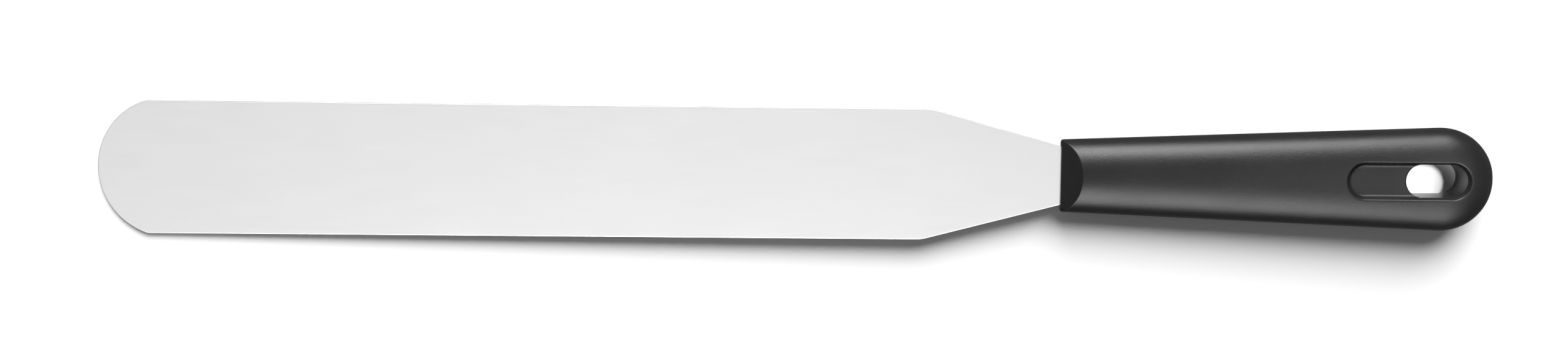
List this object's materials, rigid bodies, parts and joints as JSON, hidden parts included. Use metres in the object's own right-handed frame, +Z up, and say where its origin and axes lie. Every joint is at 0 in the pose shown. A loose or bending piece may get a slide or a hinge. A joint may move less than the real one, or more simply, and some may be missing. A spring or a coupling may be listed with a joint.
{
  "type": "straight icing spatula",
  "caption": "Long straight flexible steel blade with a round tip, moulded into a black plastic handle with a hanging slot, for spreading icing.",
  "frame": {"origin": "under the middle of the object's length and width, level with the underside of the handle", "axes": "+X along the blade from its tip towards the handle's butt, +Y across the blade, +Z up, square to the flat of the blade"},
  "size_m": [0.4344, 0.0414, 0.0165],
  "materials": {
    "blade_steel": "fine satin, ground along the blade",
    "handle_plastic": "black, fine spark-eroded mould texture"
  },
  "bodies": {
    "root": {"blade": "blade_steel", "handle": "handle_plastic"}
  },
  "joints": []
}
